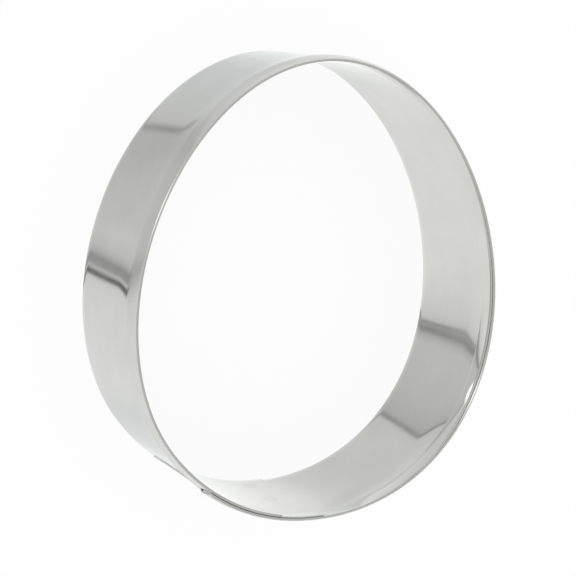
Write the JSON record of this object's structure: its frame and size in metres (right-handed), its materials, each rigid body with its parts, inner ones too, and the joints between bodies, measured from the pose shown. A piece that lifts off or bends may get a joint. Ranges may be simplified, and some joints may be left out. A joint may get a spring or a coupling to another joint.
{
  "type": "egg cookie cutter",
  "caption": "Egg-shaped cookie cutter: a deep ring of thin tinplate with a folded hem along the top edge, a bare cutting edge below and a spot-welded lap at the blunt end.",
  "frame": {"origin": "on the plane of the cutting edge, under the middle of the cookie outline, which is also the bottom centre of the cutter's box", "axes": "+Z from the cutting edge up to the hemmed rim, +Y towards the narrow tip of the egg, +X to the right when the tip points away"},
  "size_m": [0.0661, 0.0769, 0.0254],
  "materials": {
    "tinplate": "bright rolled tinplate, lightly handled, with a soft sheen",
    "weld_metal": "dull electrode mark in the same tinplate"
  },
  "bodies": {
    "root": {"cutter_band": "tinplate", "spot_weld_inner_lower": "weld_metal", "spot_weld_inner_upper": "weld_metal", "spot_weld_outer_lower": "weld_metal", "spot_weld_outer_upper": "weld_metal"}
  },
  "joints": []
}
